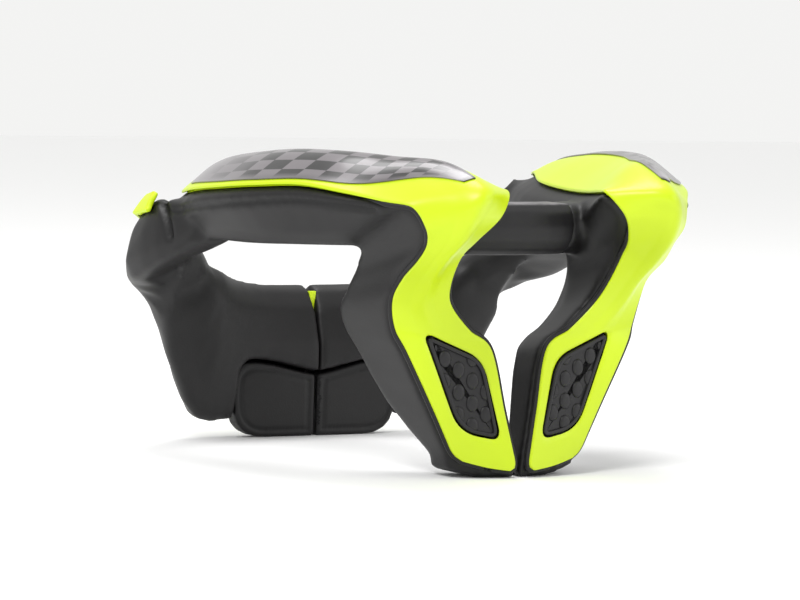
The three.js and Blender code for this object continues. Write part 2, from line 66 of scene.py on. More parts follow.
# Sections of a deck and leg in thousandths: the plate's outer edge, crest and inner edge as [x, y, z].
STRIP = [
    ([775, 757, 795], [725, 722, 850], [665, 685, 872]),
    ([875, 609, 832], [720, 609, 922], [590, 610, 888]),
    ([893, 478, 855], [690, 478, 956], [487, 513, 872]),
    ([868, 383, 870], [658, 383, 970], [425, 413, 864]),
    ([805, 278, 882], [598, 280, 972], [370, 313, 862]),
    ([732, 195, 868], [513, 198, 965], [307, 210, 866]),
    ([638, 124, 845], [430, 108, 955], [238, 112, 877]),
    ([577, 80, 830], [388, 4, 887], [200, 64, 878]),
    ([542, 61, 770], [417, 0, 820], [254, 39, 806]),
    ([517, 74, 719], [433, 26, 741], [312, 70, 730]),
    ([517, 102, 664], [442, 78, 669], [333, 104, 676]),
    ([517, 152, 604], [433, 130, 597], [329, 139, 590]),
    ([521, 178, 540], [417, 163, 525], [300, 159, 525]),
    ([500, 185, 460], [358, 174, 450], [208, 167, 446]),
    ([458, 174, 386], [292, 172, 381], [115, 169, 388]),
    ([350, 168, 211], [208, 163, 209], [67, 157, 201]),
    ([262, 165, 61], [142, 152, 35], [21, 143, 20]),
]
LAST_ROW = len(STRIP) - 1

# The plate: its wall, its first row, its rounded edges and its rounded corners as (rows, share of the width).
PLATE_WALL = 2.4 * MM
PLATE_START = 0.2
PLATE_EDGE = 0.9 * MM
REAR_CORNER = (0.4, 0.16)
TOE_CORNER = (0.22, 0.12)
# The fold along the crest: its height, its reach as a share of the width, and the rows of its rise and fall.
FOLD_HEIGHT = 1.4 * MM
FOLD_REACH = 0.2
FOLD_RISE = (5.5, 7.0)
FOLD_FALL = (11.5, 14.0)

# The foam's rolled edge round the leg part of a plate: the rows of STRIP where it starts and ends, its
# radius, and how far it lies below the plate's upper face and outside its edge.
EDGE_FIRST_OUTER = 5.5
EDGE_FIRST_INNER = 8.5
EDGE_RADIUS = 1.1 * MM
EDGE_SINK = 1.8 * MM
EDGE_OUT = 0.3 * MM

# Deck panel: rows of STRIP and the shares of the way across between which it lies there.
PANEL = [
    (0.8, 0.09, 0.56), (1.5, 0.055, 0.58), (2.5, 0.045, 0.6), (3.5, 0.045, 0.6), (4.5, 0.06, 0.59),
    (5.2, 0.1, 0.58), (5.8, 0.2, 0.56), (6.3, 0.32, 0.54), (6.7, 0.42, 0.52),
]
PANEL_WALL = 0.5 * MM
PANEL_LIFT = 0.65 * MM
CHECKS_ALONG = 17
CHECKS_ACROSS = 5

# Chest pad: its outline as (x, z) shares with corner radii as shares of PAD_CORNER, its rim and its studs.
PAD_CORNERS = [((0.384, 0.436), 0.4), ((0.157, 0.357), 0.55), ((0.09, 0.12), 0.4), ((0.246, 0.146), 0.7)]
PAD_CORNER = 13 * MM
PAD_DEPTH = 5 * MM
PAD_PROUD = 1.2 * MM
PAD_RIM = 1.8 * MM
PAD_RIM_HEIGHT = 1.0 * MM
# The rim from the outside in: how far each step goes inwards, and how much higher it is, in millimetres.
PAD_RIM_STEPS = [(0.15, 0.35), (0.35, 0.15), (0.2, 0), (0.5, 0), (0.35, -0.1), (0.25, -0.9)]
PAD_SHOULDER = 0.5 * MM
# The window round the pad: its gap, how near a corner of the cut has to be to snap to it, and its rounding.
WINDOW_GAP = 0.8 * MM
WINDOW_SNAP = 2 * MM
WINDOW_ROUND = 0.4 * MM
# A stud's middle lies at least STUD_MARGIN inside the pad's outline.
STUD_MARGIN = 0.4 * MM
STUD_CENTRE = (0.25, 0.262)
STUD_WIDTH = 5.8 * MM
STUD_LENGTH = 7.2 * MM
STUD_HEIGHT = 0.9 * MM
STUD_PITCH = 9.4 * MM
STUD_COLUMN_STEP = 6.6 * MM

# Closure flap: its outline as (x, z) shares with corner radii as shares of FLAP_CORNER, and how far in its
# pressed border lies.
FLAP_CORNERS = [((0.0067, 0), 0.06), ((0.355, 0), 1.0), ((0.355, 0.252), 0.95), ((0.2, 0.24), 0.35),
                ((0.0067, 0.2), 0.06)]
FLAP_CORNER = 17 * MM
FLAP_BORDER = 3.2 * MM

# The band's ends run on to the slit beside the deck: the stretch that is drawn on, how far, and how much
# higher.
BAND_END_REACH = 9 * MM
BAND_END_ON = 7 * MM
BAND_END_UP = 2 * MM

# The tongue of the band that shows in the mouth of the seam: y, top and bottom as shares, its width and
# thickness, the width of its point as a share, and its rounded edges.
TONGUE = (0.917, 0.468, 0.366)
TONGUE_WIDTH = 3.6 * MM
TONGUE_THICKNESS = 2 * MM
TONGUE_POINT = 0.15
TONGUE_EDGE = 0.25 * MM

# The ragged hook-and-loop edge: how far from the flap's foot and top it ends, and its tufts.
HOOKS_FROM_FOOT = 5 * MM
HOOKS_FROM_TOP = 8 * MM
HOOK_TUFTS = 34
HOOK_RADIUS = 0.5 * MM

# Pixels of the photograph along the slit between deck and wing, and along the fold below the wing's bulge.
SLIT_PIXELS = [(164, 203), (167, 218), (170, 236)]
FOLD_PIXELS = [(228, 243), (220, 262), (202, 289), (176, 300), (153, 305)]

# How far from the centre plane, and by what share, the halves and flaps are drawn together at the seam.
SEAM_REACH = 8 * MM
SEAM_CLOSING = 0.6

# The crease under the foam's lip beside a deck: how far out and down it lies, and between which rows.
FOAM_LIP = 5.5 * MM
CREASE_DROP = 6 * MM
CREASE_ROWS = (0.3, 5.9)

# Dents: width, depth, and the darkness of the shade painted into them.
FOLD_DENT = (7 * MM, 2 * MM, 0.15)
CREASE_DENT = (1.7 * MM, 1.4 * MM, 1.0)
SLIT_DENT = (1.7 * MM, 1.9 * MM, 1.0)
BORDER_DENT = (0.9 * MM, 0.7 * MM, 0.6)

# Moulded forms: the voxel size and the rounds of smoothing that even them out.
FOAM_MOULD = (1.3 * MM, 10)
BRIDGE_MOULD = (1.0 * MM, 3)
BAND_MOULD = (0.8 * MM, 4)
FLAP_MOULD = (0.8 * MM, 5)
BRIDGE_STRETCH = 1.06

# Rows and columns of the sheets, and the angle from which an edge is shaded sharp.
PLATE_GRID = (260, 44)
PANEL_GRID = (150, 24)
EDGE_SIDES = 14
SHARP_ANGLE = math.radians(50)

# Rounded corners: the share of a side that one may take, its least reach, and its steps.
CORNER_ROOM = 0.48
CORNER_LEAST = 0.2 * MM
CORNER_STEPS = 8

# The camera stands where the photograph was taken from: 32 degrees round to the wearer's right, 4 degrees up.
AZIMUTH, ELEVATION, ROLL = math.radians(32), math.radians(4.25), math.radians(1.9)
VIEW = Vector((math.sin(AZIMUTH) * math.cos(ELEVATION), math.cos(AZIMUTH) * math.cos(ELEVATION),
               -math.sin(ELEVATION)))
RIGHT = Vector((math.cos(AZIMUTH), -math.sin(AZIMUTH), 0))
UP = RIGHT.cross(VIEW)
PIXELS_PER_METRE = 2300
CAMERA_DISTANCE = 2.0
FRAME_WIDTH = 800
FRAME_HEIGHT = 600
SENSOR_WIDTH = 36
# the middle of the brace's floor box falls on this pixel of the 800 by 600 image
ORIGIN_PIXEL = (431.0, 457.5)
NOSE_TO_ORIGIN = 110 * MM
sideways = (FRAME_WIDTH / 2 - ORIGIN_PIXEL[0]) / PIXELS_PER_METRE
higher = (ORIGIN_PIXEL[1] - FRAME_HEIGHT / 2) / PIXELS_PER_METRE
AIM = RIGHT * sideways + UP * higher + Vector((0, NOSE_Y + NOSE_TO_ORIGIN, 0))
EYE = AIM - VIEW * CAMERA_DISTANCE
ROLLED_RIGHT = RIGHT * math.cos(ROLL) + UP * math.sin(ROLL)
ROLLED_UP = UP * math.cos(ROLL) - RIGHT * math.sin(ROLL)


# Helpers for shapes

def lerp(a, b, t):
    """The value at share t of the way from a to b."""
    return a + (b - a) * t


def steps(first, last, count):
    """Evenly spaced values from first to last, count steps apart."""
    return [lerp(first, last, i / count) for i in range(count + 1)]


def smooth_step(value, low, high):
    t = min(max((value - low) / (high - low), 0), 1)
    return t * t * (3 - 2 * t)


def place(shares):
    """The point that a table's thousandths of HALF_WIDTH, DEPTH and HEIGHT stand for."""
    x, y, z = (value / 1000 for value in shares)
    return Vector((x * HALF_WIDTH, NOSE_Y + y * DEPTH, z * HEIGHT))


def along(points, t):
    """A point at share t of a smooth curve through points."""
    span = t * (len(points) - 1)
    i = min(int(span), len(points) - 2)
    f = span - i
    p1, p2 = points[i], points[i + 1]
    p0 = points[i - 1] if i > 0 else p1 * 2 - p2
    p3 = points[i + 2] if i + 2 < len(points) else p2 * 2 - p1
    v1, v2 = (p2 - p0) * 0.5, (p3 - p1) * 0.5
    return (p1 * 2 - p2 * 2 + v1 + v2) * f ** 3 + (p2 * 3 - p1 * 3 - v1 * 2 - v2) * f ** 2 + v1 * f + p1


COLUMNS = [[place(row[k]) for row in STRIP] for k in range(3)]


def face_at(row, share):
    """A point of the plate's upper face, at a row of STRIP and a share of the way across."""
    return along([along(column, row / LAST_ROW) for column in COLUMNS], share)


def lifted_at(row, share, lift):
    """The same point, moved off the face along its normal."""
    near = 0.04
    down = face_at(min(row + near, LAST_ROW), share) - face_at(max(row - near, 0), share)
    over = face_at(row, min(share + near, 1)) - face_at(row, max(share - near, 0))
    return face_at(row, share) + over.cross(down).normalized() * lift


def new_object(name, bm, material):
    mesh = bpy.data.meshes.new(name)
    bm.to_mesh(mesh)
    bm.free()
    piece = bpy.data.objects.new(name, mesh)
    bpy.context.scene.collection.objects.link(piece)
    mesh.materials.append(material)
    mesh.polygons.foreach_set("use_smooth", [True] * len(mesh.polygons))
    return piece


def apply_modifier(piece, kind, **settings):
    modifier = piece.modifiers.new(kind.lower(), kind)
    for key, value in settings.items():
        setattr(modifier, key, value)
    depsgraph = bpy.context.evaluated_depsgraph_get()
    mesh = bpy.data.meshes.new_from_object(piece.evaluated_get(depsgraph))
    piece.modifiers.clear()
    piece.data = mesh


def grid_surface(rows, columns, at):
    """A bmesh grid with its points at(u, v), u along and v across, both from 0 to 1 and kept as its UV."""
    bm = bmesh.new()
    bmesh.ops.create_grid(bm, x_segments=columns, y_segments=rows, size=0.5)
    layer = bm.loops.layers.uv.new("grid")
    for face in bm.faces:
        for loop in face.loops:
            loop[layer].uv = (loop.vert.co.y + 0.5, loop.vert.co.x + 0.5)
    for vert in bm.verts:
        vert.co = at(vert.co.y + 0.5, vert.co.x + 0.5)
    return bm


def mirrored(piece, name):
    """The same piece on the other side of the centre plane."""
    copy = piece.copy()
    copy.data = piece.data.copy()
    copy.name = name
    bpy.context.scene.collection.objects.link(copy)
    copy.data.transform(MIRROR)
    copy.data.flip_normals()
    return copy


def moulded(node, name, material, voxel, rounds):
    """A moulded form: the solid's walls, evened out and rounded."""
    bm = bmesh.new()
    bm.from_mesh(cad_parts[node].data)
    bmesh.ops.remove_doubles(bm, verts=bm.verts, dist=0.01 * MM)
    piece = new_object(name, bm, material)
    apply_modifier(piece, "REMESH", mode="VOXEL", voxel_size=voxel, use_smooth_shade=True)
    bm = bmesh.new()
    bm.from_mesh(piece.data)
    for _ in range(rounds):
        bmesh.ops.smooth_vert(bm, verts=bm.verts, factor=0.5, use_axis_x=True, use_axis_y=True,
                              use_axis_z=True)
    bm.to_mesh(piece.data)
    bm.free()
    return piece


def dent(piece, line, width, depth, dark):
    """Pushes the surface in along a line of points near it, and notes how dark the shade painted into the
    crease is.
    """
    bm = bmesh.new()
    bm.from_mesh(piece.data)
    bm.normal_update()
    surface = BVHTree.FromBMesh(bm)
    tree = KDTree(len(line))
    for i, point in enumerate(line):
        tree.insert(surface.find_nearest(point)[0], i)
    tree.balance()
    layer = bm.verts.layers.float.get("crease_shade") or bm.verts.layers.float.new("crease_shade")
    for vert in bm.verts:
        share = math.exp(-(tree.find(vert.co)[2] / width) ** 2)
        if share > 0.01:
            # painted shade: marks how far the crease's colour is darkened towards near-black
            vert[layer] = max(vert[layer], share * dark)
            vert.co -= vert.normal * depth * share
    bm.to_mesh(piece.data)
    bm.free()


def rounded_outline(corners, radius, grow):
    """Points of a closed outline with rounded corners, moved outwards by grow."""
    flat = [Vector((x * HALF_WIDTH, z * HEIGHT)) for (x, z), _ in corners]
    sides = [flat[(i + 1) % len(flat)] - flat[i] for i in range(len(flat))]
    points = []
    for i, (corner, (_, share)) in enumerate(zip(flat, corners)):
        before, after = sides[i - 1].normalized(), sides[i].normalized()
        sharp = corner + (before - after) * (grow / abs(before.cross(after)))
        room = min(sides[i - 1].length, sides[i].length) * CORNER_ROOM
        reach = max(min(share * radius + grow, room), CORNER_LEAST)
        start, end = sharp - before * reach, sharp + after * reach
        for t in steps(0, 1, CORNER_STEPS):
            points.append(start * (1 - t) ** 2 + sharp * 2 * t * (1 - t) + end * t * t)
    return points


def inside(outline, x, z):
    """Whether a place lies within a closed outline."""
    odd = False
    for a, b in zip(outline, outline[1:] + outline[:1]):
        if (a.y > z) != (b.y > z) and x < a.x + (z - a.y) * (b.x - a.x) / (b.y - a.y):
            odd = not odd
    return odd


def nearest_on(outline, x, z):
    """The place on a closed outline that is nearest to x and z."""
    point = Vector((x, z))
    best = None
    for a, b in zip(outline, outline[1:] + outline[:1]):
        side = b - a
        t = min(max((point - a).dot(side) / max(side.length_squared, 1e-12), 0), 1)
        found = a + side * t
        if best is None or (found - point).length < (best - point).length:
            best = found
    return best


def dress(piece, node):
    """Lets a piece stand for a node of the frame."""
    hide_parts(node)
    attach(piece, "root")


# Helpers for materials

def linear(hex_colour):
    parts = [int(hex_colour[i:i + 2], 16) / 255 for i in (1, 3, 5)]
    return [part / 12.92 if part <= 0.04045 else ((part + 0.055) / 1.055) ** 2.4 for part in parts] + [1.0]


def add_node(tree, kind, settings=None, inputs=None, links=None):
    """Adds a node, sets its properties and inputs, and links inputs to (node, output) pairs."""
    made = tree.nodes.new(kind)
    for key, value in (settings or {}).items():
        setattr(made, key, value)
    for key, value in (inputs or {}).items():
        made.inputs[key].default_value = value
    for key, (source, output) in (links or {}).items():
        tree.links.new(source.outputs[output], made.inputs[key])
    return made


def new_material(name):
    material = bpy.data.materials.new(name)
    material.use_nodes = True
    tree = material.node_tree
    tree.nodes.clear()
    shader = add_node(tree, "ShaderNodeBsdfPrincipled")
    add_node(tree, "ShaderNodeOutputMaterial", links={"Surface": (shader, "BSDF")})
    coordinates = add_node(tree, "ShaderNodeTexCoord")
    return material, tree, shader, coordinates


def ramp(tree, source, output, stops):
    made = add_node(tree, "ShaderNodeValToRGB", links={"Fac": (source, output)})
    elements = made.color_ramp.elements
    while len(elements) < len(stops):
        elements.new(0.5)
    for element, (position, colour) in zip(elements, stops):
        element.position = position
        element.color = colour
    return made


def blend(tree, factor, first, second):
    """Mixes two colours. Each is a colour value or a (node, output) pair, and factor is such a pair."""
    made = add_node(tree, "ShaderNodeMix", {"data_type": "RGBA"})
    tree.links.new(factor[0].outputs[factor[1]], made.inputs[0])
    for socket, colour in ((made.inputs[6], first), (made.inputs[7], second)):
        if isinstance(colour, tuple):
            tree.links.new(colour[0].outputs[colour[1]], socket)
        else:
            socket.default_value = colour
    return made


def times(tree, first, second):
    made = add_node(tree, "ShaderNodeMath", {"operation": "MULTIPLY"})
    tree.links.new(first[0].outputs[first[1]], made.inputs[0])
    tree.links.new(second[0].outputs[second[1]], made.inputs[1])
    return made


# Materials

def foam_skin(name, base, dark, light, rough, wear_and_highlight=None):
    """Integral-skin polyurethane foam, moulded: a satin charcoal skin with a fine leathery grain."""
    material, tree, shader, coordinates = new_material(name)
    cloud = add_node(tree, "ShaderNodeTexNoise", inputs={"Scale": 22.0, "Detail": 3.0, "Roughness": 0.55},
                     links={"Vector": (coordinates, "Object")})
    tone = ramp(tree, cloud, "Fac", [(0.3, linear(dark)), (0.55, linear(base)), (0.8, linear(light))])
    # painted shade: the creases that dent() marked are darkened towards near-black
    crease_shade = add_node(tree, "ShaderNodeAttribute", {"attribute_name": "crease_shade"})
    colour = blend(tree, (crease_shade, "Fac"), (tone, "Color"), linear("#050506"))
    if wear_and_highlight:
        # what faces up is paler: partly rubbed by handling, partly a painted highlight where the light from
        # above falls
        normal = add_node(tree, "ShaderNodeNewGeometry")
        parts = add_node(tree, "ShaderNodeSeparateXYZ", links={"Vector": (normal, "Normal")})
        top = ramp(tree, parts, "Z", [(0.78, linear("#000000")), (0.97, linear("#ffffff"))])
        patch_noise = add_node(tree, "ShaderNodeTexNoise", inputs={"Scale": 160.0, "Detail": 4.0},
                          links={"Vector": (coordinates, "Object")})
        patch = ramp(tree, patch_noise, "Fac", [(0.35, linear("#a0a0a0")), (0.65, linear("#ffffff"))])
        wear_and_highlight_mask = times(tree, (top, "Color"), (patch, "Color"))
        colour = blend(tree, (wear_and_highlight_mask, "Value"), (colour, 2), linear(wear_and_highlight))
    tree.links.new(colour.outputs[2], shader.inputs["Base Color"])
    shader.inputs["Specular IOR Level"].default_value = 0.38
    rough_map = add_node(tree, "ShaderNodeMapRange", inputs={"To Min": rough - 0.05, "To Max": rough + 0.07},
                         links={"Value": (cloud, "Fac")})
    tree.links.new(rough_map.outputs["Result"], shader.inputs["Roughness"])
    # the grain of the mould, cells of about 0.8 mm
    grain = add_node(tree, "ShaderNodeTexVoronoi", inputs={"Scale": 1250.0},
                     links={"Vector": (coordinates, "Object")})
    bump = add_node(tree, "ShaderNodeBump", inputs={"Strength": 0.12, "Distance": 0.0002},
                    links={"Height": (grain, "Distance")})
    tree.links.new(bump.outputs["Normal"], shader.inputs["Normal"])
    return material


def plate_plastic(name, base, shade, rough):
    """Fluorescent thermoplastic, injection moulded: saturated, semi-gloss, with a slight orange peel."""
    material, tree, shader, coordinates = new_material(name)
    cloud = add_node(tree, "ShaderNodeTexNoise", inputs={"Scale": 14.0, "Detail": 2.0},
                     links={"Vector": (coordinates, "Object")})
    tone = ramp(tree, cloud, "Fac", [(0.35, linear(shade)), (0.65, linear(base))])
    tree.links.new(tone.outputs["Color"], shader.inputs["Base Color"])
    shader.inputs["Roughness"].default_value = rough
    # the peel's cells are about 2.5 mm
    peel = add_node(tree, "ShaderNodeTexNoise", inputs={"Scale": 420.0, "Detail": 2.0},
                    links={"Vector": (coordinates, "Object")})
    bump = add_node(tree, "ShaderNodeBump", inputs={"Strength": 0.04, "Distance": 0.0002},
                    links={"Height": (peel, "Fac")})
    tree.links.new(bump.outputs["Normal"], shader.inputs["Normal"])
    return material


def printed_film(name):
    """Smoky polycarbonate film, printed with a plain check that fades out at its ends, under clear gloss."""
    material, tree, shader, _ = new_material(name)
    grid = add_node(tree, "ShaderNodeUVMap", {"uv_map": "grid"})
    parts = add_node(tree, "ShaderNodeSeparateXYZ", links={"Vector": (grid, "UV")})
    black, white = linear("#000000"), linear("#ffffff")
    # the film's tone along the deck; its dark last stop is a painted shadow line at the panel's front tip
    film_with_tip_shadow = ramp(tree, parts, "X", [(0.0, linear("#7b777a")), (0.3, linear("#565255")),
                                   (0.72, linear("#524e51")), (0.97, linear("#8b878b")),
                                   (1.0, linear("#2e2b2e"))])
    ends = ramp(tree, parts, "X", [(0.06, black), (0.26, white), (0.8, white), (0.93, black)])
    sides = ramp(tree, parts, "Y", [(0.03, black), (0.12, white), (0.86, white), (0.97, black)])
    band = times(tree, (ends, "Color"), (sides, "Color"))
    squares = add_node(tree, "ShaderNodeVectorMath", {"operation": "MULTIPLY_ADD"},
                       {1: (CHECKS_ALONG, CHECKS_ACROSS, 0), 2: (0, 0, 0.5)}, {0: (grid, "UV")})
    checks = add_node(tree, "ShaderNodeTexChecker", inputs={"Scale": 1.0},
                      links={"Vector": (squares, "Vector")})
    checks.inputs["Color1"].default_value = linear("#676265")
    checks.inputs["Color2"].default_value = linear("#171516")
    colour = blend(tree, (band, "Value"), (film_with_tip_shadow, "Color"), (checks, "Color"))
    tree.links.new(colour.outputs[2], shader.inputs["Base Color"])
    shader.inputs["Roughness"].default_value = 0.3
    shader.inputs["Coat Weight"].default_value = 0.4
    shader.inputs["Coat Roughness"].default_value = 0.12
    return material


FOAM = foam_skin("integral_skin_foam", "#121112", "#0e0d0e", "#191719", 0.48)
# the bridge's upward faces turn pale grey: partly wear, partly a painted highlight
BRIDGE = foam_skin("bridge_foam", "#161517", "#111012", "#1d1c1e", 0.5, wear_and_highlight="#6e6b6e")
PLATE = plate_plastic("fluorescent_moulded_plastic", "#c4dc00", "#bcd400", 0.36)
STRAP = plate_plastic("fluorescent_soft_plastic", "#cae412", "#bfda0c", 0.5)
RUBBER = foam_skin("moulded_rubber", "#1a191b", "#151416", "#222123", 0.42)
HOOKS = foam_skin("hook_and_loop_pile", "#161617", "#101011", "#1e1e20", 0.8)
PANEL_FILM = printed_film("smoky_printed_film")


# Foam halves

def deck_crease():
    """The line under the rolled lip along the outside of a deck."""
    line = []
    for row in steps(*CREASE_ROWS, 200):
        edge = face_at(row, 0)
        outward = (edge - face_at(row, 0.12)).normalized()
        line.append(edge + outward * FOAM_LIP - Vector((0, 0, CREASE_DROP)))
    return line


def pixel_line(piece, pixels):
    """The line on the wearer's right side that the photograph's pixels see, mirrored to the left."""
    bm = bmesh.new()
    bm.from_mesh(piece.data)
    surface = BVHTree.FromBMesh(bm)
    bm.free()
    line = []
    for (x0, y0), (x1, y1) in zip(pixels, pixels[1:]):
        for t in steps(0, 1, 16):
            across = ROLLED_RIGHT * (lerp(x0, x1, t) - FRAME_WIDTH / 2)
            above = ROLLED_UP * (FRAME_HEIGHT / 2 - lerp(y0, y1, t))
            ray = VIEW * (PIXELS_PER_METRE * CAMERA_DISTANCE) + across + above
            hit = surface.ray_cast(MIRROR @ EYE, MIRROR @ ray.normalized())[0]
            if hit:
                line.append(hit)
    return line


def close_seam(piece):
    """Brings the faces at the rear seam, which smoothing has drawn back, nearer to the centre plane."""
    for vert in piece.data.vertices:
        if vert.co.y > 0:
            vert.co.x *= lerp(1 - SEAM_CLOSING, 1, smooth_step(vert.co.x, 0, SEAM_REACH))


foam = moulded("foam_left", "foam_body_left", FOAM, *FOAM_MOULD)
close_seam(foam)
dent(foam, pixel_line(foam, FOLD_PIXELS), *FOLD_DENT)
dent(foam, deck_crease(), *CREASE_DENT)
dent(foam, pixel_line(foam, SLIT_PIXELS), *SLIT_DENT)
for piece, side in ((foam, "left"), (mirrored(foam, "foam_body_right"), "right")):
    dress(piece, f"foam_{side}")


# Plates and the foam's rolled edge round them

def corner_inset(row):
    """How far the rounded corners at the plate's two ends narrow it at a row, as a share of its width."""
    inset = 0
    for end, (rows, share) in ((PLATE_START, REAR_CORNER), (LAST_ROW, TOE_CORNER)):
        t = max(0, 1 - abs(row - end) / rows)
        inset = max(inset, share * (1 - math.sqrt(1 - t * t)))
    return inset


def fold_lift(row, share):
    """A soft fold along the crest of the nose and the upper leg."""
    strength = smooth_step(row, *FOLD_RISE) * (1 - smooth_step(row, *FOLD_FALL))
    return FOLD_HEIGHT * strength * max(0, 1 - abs(share - 0.5) / FOLD_REACH)


def edge_drop(row, share):
    """How far the plate's upper face has rounded down near its long edges."""
    middle = face_at(row, 0.5)
    width = (face_at(row, 0) - middle).length + (face_at(row, 1) - middle).length
    near = PLATE_EDGE - min(min(share, 1 - share) * width, PLATE_EDGE)
    return PLATE_EDGE - math.sqrt(PLATE_EDGE ** 2 - near ** 2)


def plate_at(u, v):
    """A point of the plate's upper face, with the columns closer together near its long edges."""
    row = lerp(PLATE_START, LAST_ROW, u)
    crowded = lerp(v, (1 - math.cos(math.pi * v)) / 2, 0.75)
    share = lerp(corner_inset(row), 1 - corner_inset(row), crowded)
    return lifted_at(row, share, fold_lift(row, share) - edge_drop(row, crowded))


def cut_window(bm, outline):
    """Opens the plate along an outline, whose edge is rounded a little."""
    gone = []
    for face in bm.faces:
        centre = face.calc_center_median()
        if centre.z < HEIGHT / 2 and inside(outline, centre.x, centre.z):
            gone.append(face)
    bmesh.ops.delete(bm, geom=gone, context="FACES")
    bm.normal_update()
    for vert in bm.verts:
        if not vert.is_boundary or vert.co.z > HEIGHT / 2:
            continue
        on = nearest_on(outline, vert.co.x, vert.co.z)
        step = Vector((on.x - vert.co.x, 0, on.y - vert.co.z))
        if step.length < WINDOW_SNAP:
            step.y = -(vert.normal.x * step.x + vert.normal.z * step.z) / vert.normal.y
            vert.co += step - vert.normal * WINDOW_ROUND
    bmesh.ops.remove_doubles(bm, verts=bm.verts, dist=0.1 * MM)


plate_mesh = grid_surface(*PLATE_GRID, plate_at)
cut_window(plate_mesh, rounded_outline(PAD_CORNERS, PAD_CORNER, WINDOW_GAP))
plate = new_object("deck_and_leg_plate_left", plate_mesh, PLATE)
apply_modifier(plate, "SOLIDIFY", thickness=PLATE_WALL, offset=-1)
plate.data.set_sharp_from_angle(angle=SHARP_ANGLE)
dress(plate, "plate_left")
dress(mirrored(plate, "deck_and_leg_plate_right"), "plate_right")


def edge_places():
    """Rows and shares along the plate's edge on the leg: down the outside, round the toe, up the inside."""
    outside = [(row, corner_inset(row)) for row in steps(EDGE_FIRST_OUTER, LAST_ROW, 150)]
    toe = [(LAST_ROW, share) for share in steps(TOE_CORNER[1], 1 - TOE_CORNER[1], 20)][1:-1]
    inside_edge = [(row, 1 - corner_inset(row)) for row in steps(LAST_ROW, EDGE_FIRST_INNER, 120)]
    return outside + toe + inside_edge


EDGE_PLACES = edge_places()
EDGE_LINE = [lifted_at(row, share, -EDGE_SINK) for row, share in EDGE_PLACES]


def rolled_edge_at(u, v):
    """A point of the rolled edge, u along the plate's edge and v round the roll, thinner at its two ends."""
    i = round(u * (len(EDGE_LINE) - 1))
    row, share = EDGE_PLACES[i]
    forward = EDGE_LINE[min(i + 2, len(EDGE_LINE) - 1)] - EDGE_LINE[max(i - 2, 0)]
    normal = (lifted_at(row, share, MM) - lifted_at(row, share, 0)).normalized()
    outward = normal.cross(forward).normalized()
    outward *= 1 if outward.dot(EDGE_LINE[i] - face_at(row, 0.5)) > 0 else -1
    turn_round = 2 * math.pi * v
    taper = smooth_step(min(u, 1 - u), 0, 0.03)
    section = outward * math.cos(turn_round) + normal * math.sin(turn_round)
    return EDGE_LINE[i] + outward * EDGE_OUT * taper + section * EDGE_RADIUS * taper


edge_mesh = grid_surface(len(EDGE_LINE) - 1, EDGE_SIDES, rolled_edge_at)
rolled_edge = new_object("rolled_foam_edge_left", edge_mesh, FOAM)
apply_modifier(rolled_edge, "WELD", merge_threshold=0.02 * MM)
for piece in (rolled_edge, mirrored(rolled_edge, "rolled_foam_edge_right")):
    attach(piece, "root")


# Deck panels

def panel_at(u, v):
    row, low, high = (along([line[k] for line in PANEL], u) for k in range(3))
    share = lerp(low, high, v)
    return lifted_at(row, share, fold_lift(row, share) + PANEL_LIFT)


panel = new_object("printed_deck_panel_left", grid_surface(*PANEL_GRID, panel_at), PANEL_FILM)
apply_modifier(panel, "SOLIDIFY", thickness=PANEL_WALL, offset=-1)
panel.data.set_sharp_from_angle(angle=SHARP_ANGLE)
dress(panel, "deck_panel_left")
dress(mirrored(panel, "printed_deck_panel_right"), "deck_panel_right")


# Chest pads

LEG_PLACES = [place(STRIP[13][0]), place(STRIP[16][0]), place(STRIP[14][2])]
LEG_NORMAL = (LEG_PLACES[1] - LEG_PLACES[0]).cross(LEG_PLACES[2] - LEG_PLACES[0])


def leg_face(x, z):
    """The y of the leg's front face at x and z."""
    start = LEG_PLACES[0]
    return start.y - (LEG_NORMAL.x * (x - start.x) + LEG_NORMAL.z * (z - start.z)) / LEG_NORMAL.y


def stud(bm, x, z, room):
    """A low rounded stud, cut off where the pad's rim begins."""
    before = set(bm.verts)
    bmesh.ops.create_uvsphere(bm, u_segments=24, v_segments=14, radius=1)
    for vert in set(bm.verts) - before:
        side = vert.co.z
        reach = min(math.hypot(vert.co.x, vert.co.y), 1)
        height = math.copysign((1 - reach ** 4) ** 0.5, side) * STUD_HEIGHT
        flat = Vector((x + vert.co.x * STUD_WIDTH / 2, z + vert.co.y * STUD_LENGTH / 2))
        if not inside(room, flat.x, flat.y):
            flat = nearest_on(room, flat.x, flat.y)
        vert.co = (flat.x, PAD_RIM_HEIGHT - PAD_PROUD - height, flat.y)


